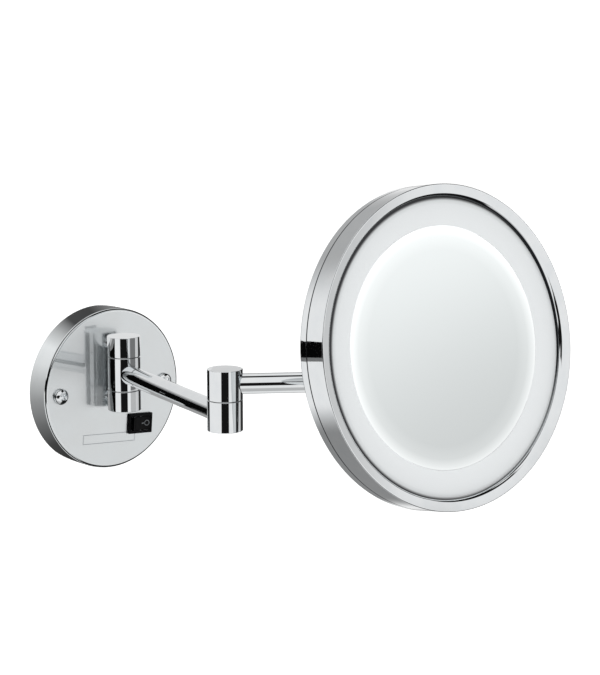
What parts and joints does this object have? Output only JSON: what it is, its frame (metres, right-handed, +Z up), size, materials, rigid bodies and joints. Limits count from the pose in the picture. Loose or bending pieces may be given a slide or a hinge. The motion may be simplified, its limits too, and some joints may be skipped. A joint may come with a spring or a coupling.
{
  "type": "extendable shaving mirror",
  "caption": "Wall-held round shaving mirror with a lit ring, on two folding tubular arms, with a rocker switch on its round wall plate.",
  "frame": {"origin": "centre of the wall plate's back face, on the wall plane", "axes": "+Z up, +Y into the wall, so the mirror reaches out along -Y; +X to the viewer's right when facing the wall"},
  "size_m": [0.2355, 0.3268, 0.2291],
  "materials": {
    "backing_plate": "matte",
    "cable_grommet": "matte",
    "cover_post_left": "satin",
    "cover_post_right": "satin",
    "cover_screw_left": "polished",
    "cover_screw_right": "polished",
    "elbow_bolt": "satin",
    "elbow_lower": "polished",
    "elbow_upper": "polished",
    "elbow_washer": "matte",
    "flange_screw_1": "satin",
    "flange_screw_2": "satin",
    "flange_screw_3": "satin",
    "front_ring": "polished",
    "head_chassis": "satin",
    "head_post": "polished",
    "hinge_block": "satin",
    "hinge_bolt": "satin",
    "hinge_cap_lower": "polished",
    "hinge_cap_upper": "polished",
    "hinge_washer_lower": "matte",
    "hinge_washer_upper": "matte",
    "inner_arm_knuckle": "polished",
    "inner_arm_lead": "satin",
    "inner_arm_tube": "polished",
    "led_board": "satin",
    "led_driver": "satin",
    "leg_bolt_lower": "satin",
    "leg_bolt_upper": "satin",
    "light_diffuser": "frosted",
    "light_tray": "satin",
    "mirror_glass": "polished",
    "mount_plate": "satin",
    "outer_arm_lead": "satin",
    "outer_arm_tube": "polished",
    "rear_shell": "polished",
    "shell_screw_1": "satin",
    "shell_screw_2": "satin",
    "shell_screw_3": "satin",
    "switch_housing": "satin",
    "switch_pin": "satin",
    "switch_rocker": "satin",
    "swivel_fork": "polished",
    "swivel_pin": "satin",
    "swivel_washer": "matte",
    "terminal_block": "matte",
    "tilt_lug": "polished",
    "tilt_pin": "satin",
    "wall_bracket": "satin",
    "wall_cover": "polished"
  },
  "bodies": {
    "wall_group": {"wall_bracket": "wall_bracket", "hinge_block": "hinge_block", "wall_cover": "wall_cover", "cover_post_left": "cover_post_left", "cover_post_right": "cover_post_right", "cover_screw_left": "cover_screw_left", "cover_screw_right": "cover_screw_right", "leg_bolt_upper": "leg_bolt_upper", "leg_bolt_lower": "leg_bolt_lower", "hinge_cap_upper": "hinge_cap_upper", "hinge_cap_lower": "hinge_cap_lower", "hinge_bolt": "hinge_bolt", "hinge_washer_upper": "hinge_washer_upper", "hinge_washer_lower": "hinge_washer_lower", "switch_housing": "switch_housing", "switch_pin": "switch_pin", "led_driver": "led_driver", "terminal_block": "terminal_block", "cable_grommet": "cable_grommet"},
    "inner_arm": {"inner_arm_knuckle": "inner_arm_knuckle", "inner_arm_tube": "inner_arm_tube", "inner_arm_lead": "inner_arm_lead", "elbow_lower": "elbow_lower", "elbow_bolt": "elbow_bolt", "elbow_washer": "elbow_washer"},
    "outer_arm": {"elbow_upper": "elbow_upper", "outer_arm_tube": "outer_arm_tube", "outer_arm_lead": "outer_arm_lead", "head_post": "head_post", "swivel_pin": "swivel_pin", "swivel_washer": "swivel_washer"},
    "swivel_knuckle": {"swivel_fork": "swivel_fork", "tilt_pin": "tilt_pin"},
    "mirror_head": {"tilt_lug": "tilt_lug", "flange_screw_1": "flange_screw_1", "flange_screw_2": "flange_screw_2", "flange_screw_3": "flange_screw_3", "mount_plate": "mount_plate", "rear_shell": "rear_shell", "front_ring": "front_ring", "mirror_glass": "mirror_glass", "light_diffuser": "light_diffuser", "light_tray": "light_tray", "led_board": "led_board", "backing_plate": "backing_plate", "head_chassis": "head_chassis", "shell_screw_1": "shell_screw_1", "shell_screw_2": "shell_screw_2", "shell_screw_3": "shell_screw_3"},
    "rocker": {"switch_rocker": "switch_rocker"}
  },
  "joints": [
    {"name": "inner_arm_swing", "type": "hinge", "parent": "wall_group", "child": "inner_arm", "pos_m": [0, -0.035, 0.0141], "axis": [0, 0, 1], "range_deg": [-76, 99]},
    {"name": "outer_arm_swing", "type": "hinge", "parent": "inner_arm", "child": "outer_arm", "pos_m": [-0.03213, -0.19582, 0.0245], "axis": [0, 0, -1], "range_deg": [-88, 165]},
    {"name": "head_swivel", "type": "hinge", "parent": "outer_arm", "child": "swivel_knuckle", "pos_m": [0.06934, -0.26427, 0.0452], "axis": [0, 0, 1], "range_deg": [-34, 145]},
    {"name": "head_tilt", "type": "hinge", "parent": "swivel_knuckle", "child": "mirror_head", "pos_m": [0.06934, -0.26427, 0.0565], "axis": [-0.9998, 0.0209, 0], "range_deg": [-24, 20]},
    {"name": "switch_rock", "type": "hinge", "parent": "wall_group", "child": "rocker", "pos_m": [0.0234, -0.0212, -0.029], "axis": [0.0698, 0, 0.9976], "range_deg": [-16, 0]}
  ]
}
